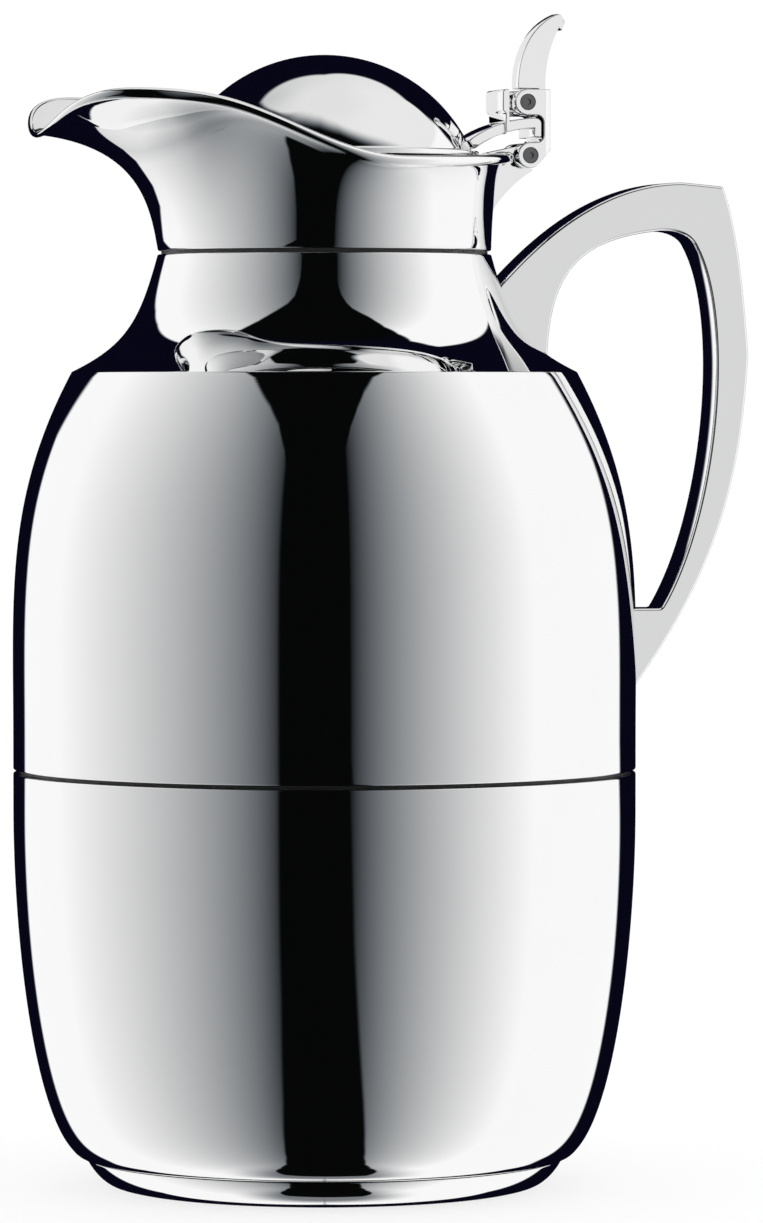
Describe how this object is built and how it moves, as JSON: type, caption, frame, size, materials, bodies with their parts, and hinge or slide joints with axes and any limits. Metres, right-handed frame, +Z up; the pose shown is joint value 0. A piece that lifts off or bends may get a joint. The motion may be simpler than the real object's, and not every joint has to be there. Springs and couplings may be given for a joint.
{
  "type": "insulated coffee jug",
  "caption": "Polished metal insulated coffee jug with a glass liner inside, a drawn-out pouring lip, a dome lid opened by a thumb lever and a loop handle.",
  "frame": {"origin": "centre of the round base at the resting plane, on the axis of the body", "axes": "+Z up along the body's axis, +X towards the handle, -X towards the pouring lip, +Y completes the right-handed frame"},
  "size_m": [0.1591, 0.1322, 0.2487],
  "materials": {
    "mirror_metal": "mirror polished chrome plate",
    "steel": "turned steel",
    "dark_plastic": "fine matt black moulding",
    "rubber": "matt rubber",
    "seal_silicone": "translucent white silicone",
    "liner_glass": "silvered glass"
  },
  "bodies": {
    "jug": {"upper_shell": "mirror_metal", "lower_shell": "mirror_metal", "upper_coupling_ring": "dark_plastic", "lower_coupling_ring": "dark_plastic", "foot_ring": "mirror_metal", "base_plate": "dark_plastic", "base_pad": "rubber", "liner_support": "rubber", "liner_outer_flask": "liner_glass", "liner_inner_flask": "liner_glass", "liner_spacers": "steel", "mouth_gasket": "rubber", "neck_insert": "dark_plastic", "spout_collar": "mirror_metal", "hinge_bracket": "mirror_metal", "handle": "mirror_metal", "handle_screws": "steel", "handle_saddles": "steel"},
    "lever": {"thumb_lever": "mirror_metal", "lever_pin": "steel", "lid_pin": "steel"},
    "lid": {"lid_dome": "mirror_metal", "lid_plate": "dark_plastic", "lid_arm": "mirror_metal", "stopper_body": "dark_plastic", "stopper_seal": "seal_silicone", "stopper_screw": "steel"}
  },
  "joints": [
    {"name": "lever_hinge", "type": "hinge", "parent": "jug", "child": "lever", "pos_m": [0.0436, 0, 0.2184], "axis": [0, 1, 0], "range_deg": [0, 70]},
    {"name": "lid_rock", "type": "hinge", "parent": "lever", "child": "lid", "pos_m": [0.043, 0, 0.2297], "axis": [0, 1, 0], "range_deg": [0, 6]}
  ]
}
